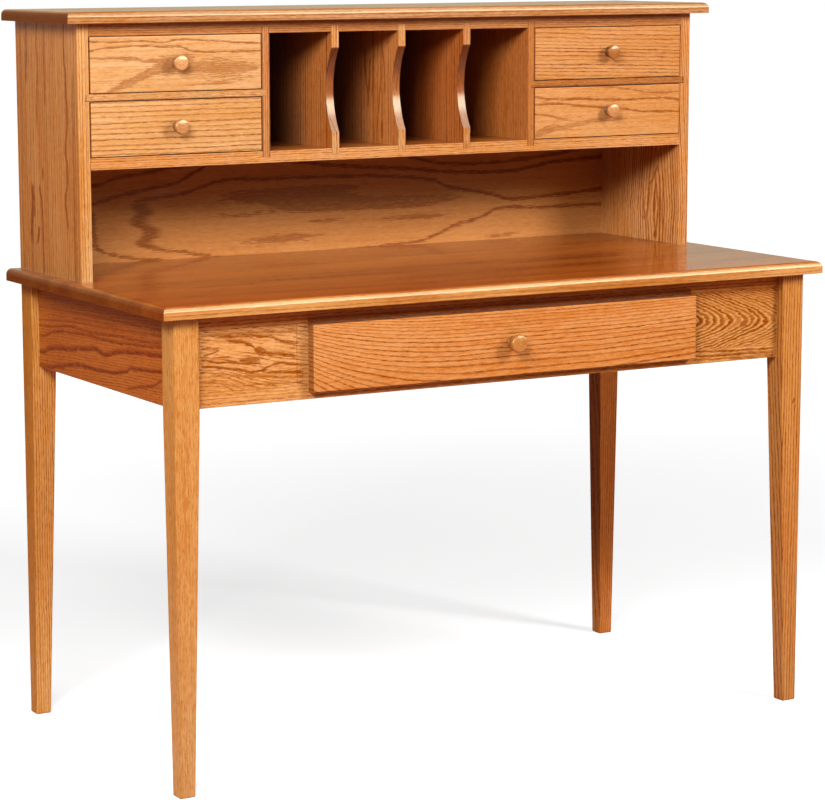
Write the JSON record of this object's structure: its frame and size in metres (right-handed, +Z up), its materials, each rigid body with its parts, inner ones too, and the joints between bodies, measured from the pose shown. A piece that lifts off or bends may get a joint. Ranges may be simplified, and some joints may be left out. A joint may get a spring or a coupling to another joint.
{
  "type": "shaker sewing desk",
  "caption": "Oak writing and sewing desk on tapered legs, with a wide drawer under the top and a low gallery of small drawers, cubbies and an open bay on it.",
  "frame": {"origin": "on the floor, under the middle of the object's bounding box", "axes": "+X to the sitter's right along the length, +Y towards the back (gallery side), +Z up"},
  "size_m": [1.2192, 0.6176, 1.1832],
  "materials": {
    "oak_case": "honey-stained red oak under satin lacquer",
    "oak_top": "honey-stained red oak under glossy lacquer, grain along the length",
    "oak_panel": "rotary-cut red oak plywood, stained and lacquered",
    "oak_drawer_front": "honey-stained red oak under satin lacquer, grain horizontal",
    "turned_knob": "turned oak, glossy lacquer",
    "drawer_box_wood": "pale maple and birch plywood, thin clear lacquer",
    "plain_wood": "planed hardwood, unstained",
    "fastener_steel": "zinc-plated steel"
  },
  "bodies": {
    "desk": {"desktop": "oak_top", "leg_front_left": "oak_case", "leg_front_right": "oak_case", "leg_rear_left": "oak_case", "leg_rear_right": "oak_case", "front_apron": "oak_case", "rear_apron": "oak_case", "left_apron": "oak_case", "right_apron": "oak_case", "corner_blocks": "plain_wood", "desktop_clips": "fastener_steel", "wood_screws": "fastener_steel", "drawer_rail_left": "plain_wood", "drawer_rail_right": "plain_wood", "gallery_side_left": "oak_case", "gallery_side_right": "oak_case", "gallery_top": "oak_top", "gallery_subtop": "oak_case", "gallery_shelf": "oak_case", "partition_left": "oak_case", "partition_right": "oak_case", "divider_left": "oak_case", "divider_center": "oak_case", "divider_right": "oak_case", "dust_shelf_left": "oak_case", "dust_shelf_right": "oak_case", "gallery_back": "oak_panel", "hutch_dowels": "plain_wood"},
    "wide_drawer": {"wide_drawer_front": "oak_drawer_front", "wide_drawer_inner_front": "drawer_box_wood", "wide_drawer_side_left": "drawer_box_wood", "wide_drawer_side_right": "drawer_box_wood", "wide_drawer_back": "drawer_box_wood", "wide_drawer_bottom": "drawer_box_wood", "wide_drawer_knob": "turned_knob", "wide_drawer_screws": "fastener_steel"},
    "upper_left_drawer": {"upper_left_drawer_front": "oak_drawer_front", "upper_left_drawer_side_left": "drawer_box_wood", "upper_left_drawer_side_right": "drawer_box_wood", "upper_left_drawer_back": "drawer_box_wood", "upper_left_drawer_bottom": "drawer_box_wood", "upper_left_drawer_knob": "turned_knob"},
    "lower_left_drawer": {"lower_left_drawer_front": "oak_drawer_front", "lower_left_drawer_side_left": "drawer_box_wood", "lower_left_drawer_side_right": "drawer_box_wood", "lower_left_drawer_back": "drawer_box_wood", "lower_left_drawer_bottom": "drawer_box_wood", "lower_left_drawer_knob": "turned_knob"},
    "upper_right_drawer": {"upper_right_drawer_front": "oak_drawer_front", "upper_right_drawer_side_left": "drawer_box_wood", "upper_right_drawer_side_right": "drawer_box_wood", "upper_right_drawer_back": "drawer_box_wood", "upper_right_drawer_bottom": "drawer_box_wood", "upper_right_drawer_knob": "turned_knob"},
    "lower_right_drawer": {"lower_right_drawer_front": "oak_drawer_front", "lower_right_drawer_side_left": "drawer_box_wood", "lower_right_drawer_side_right": "drawer_box_wood", "lower_right_drawer_back": "drawer_box_wood", "lower_right_drawer_bottom": "drawer_box_wood", "lower_right_drawer_knob": "turned_knob"}
  },
  "joints": [
    {"name": "wide_drawer_slide", "type": "slide", "parent": "desk", "child": "wide_drawer", "axis": [0, -1, 0], "range_m": [0, 0.33]},
    {"name": "upper_left_drawer_slide", "type": "slide", "parent": "desk", "child": "upper_left_drawer", "axis": [0, -1, 0], "range_m": [0, 0.19]},
    {"name": "lower_left_drawer_slide", "type": "slide", "parent": "desk", "child": "lower_left_drawer", "axis": [0, -1, 0], "range_m": [0, 0.19]},
    {"name": "upper_right_drawer_slide", "type": "slide", "parent": "desk", "child": "upper_right_drawer", "axis": [0, -1, 0], "range_m": [0, 0.19]},
    {"name": "lower_right_drawer_slide", "type": "slide", "parent": "desk", "child": "lower_right_drawer", "axis": [0, -1, 0], "range_m": [0, 0.19]}
  ]
}
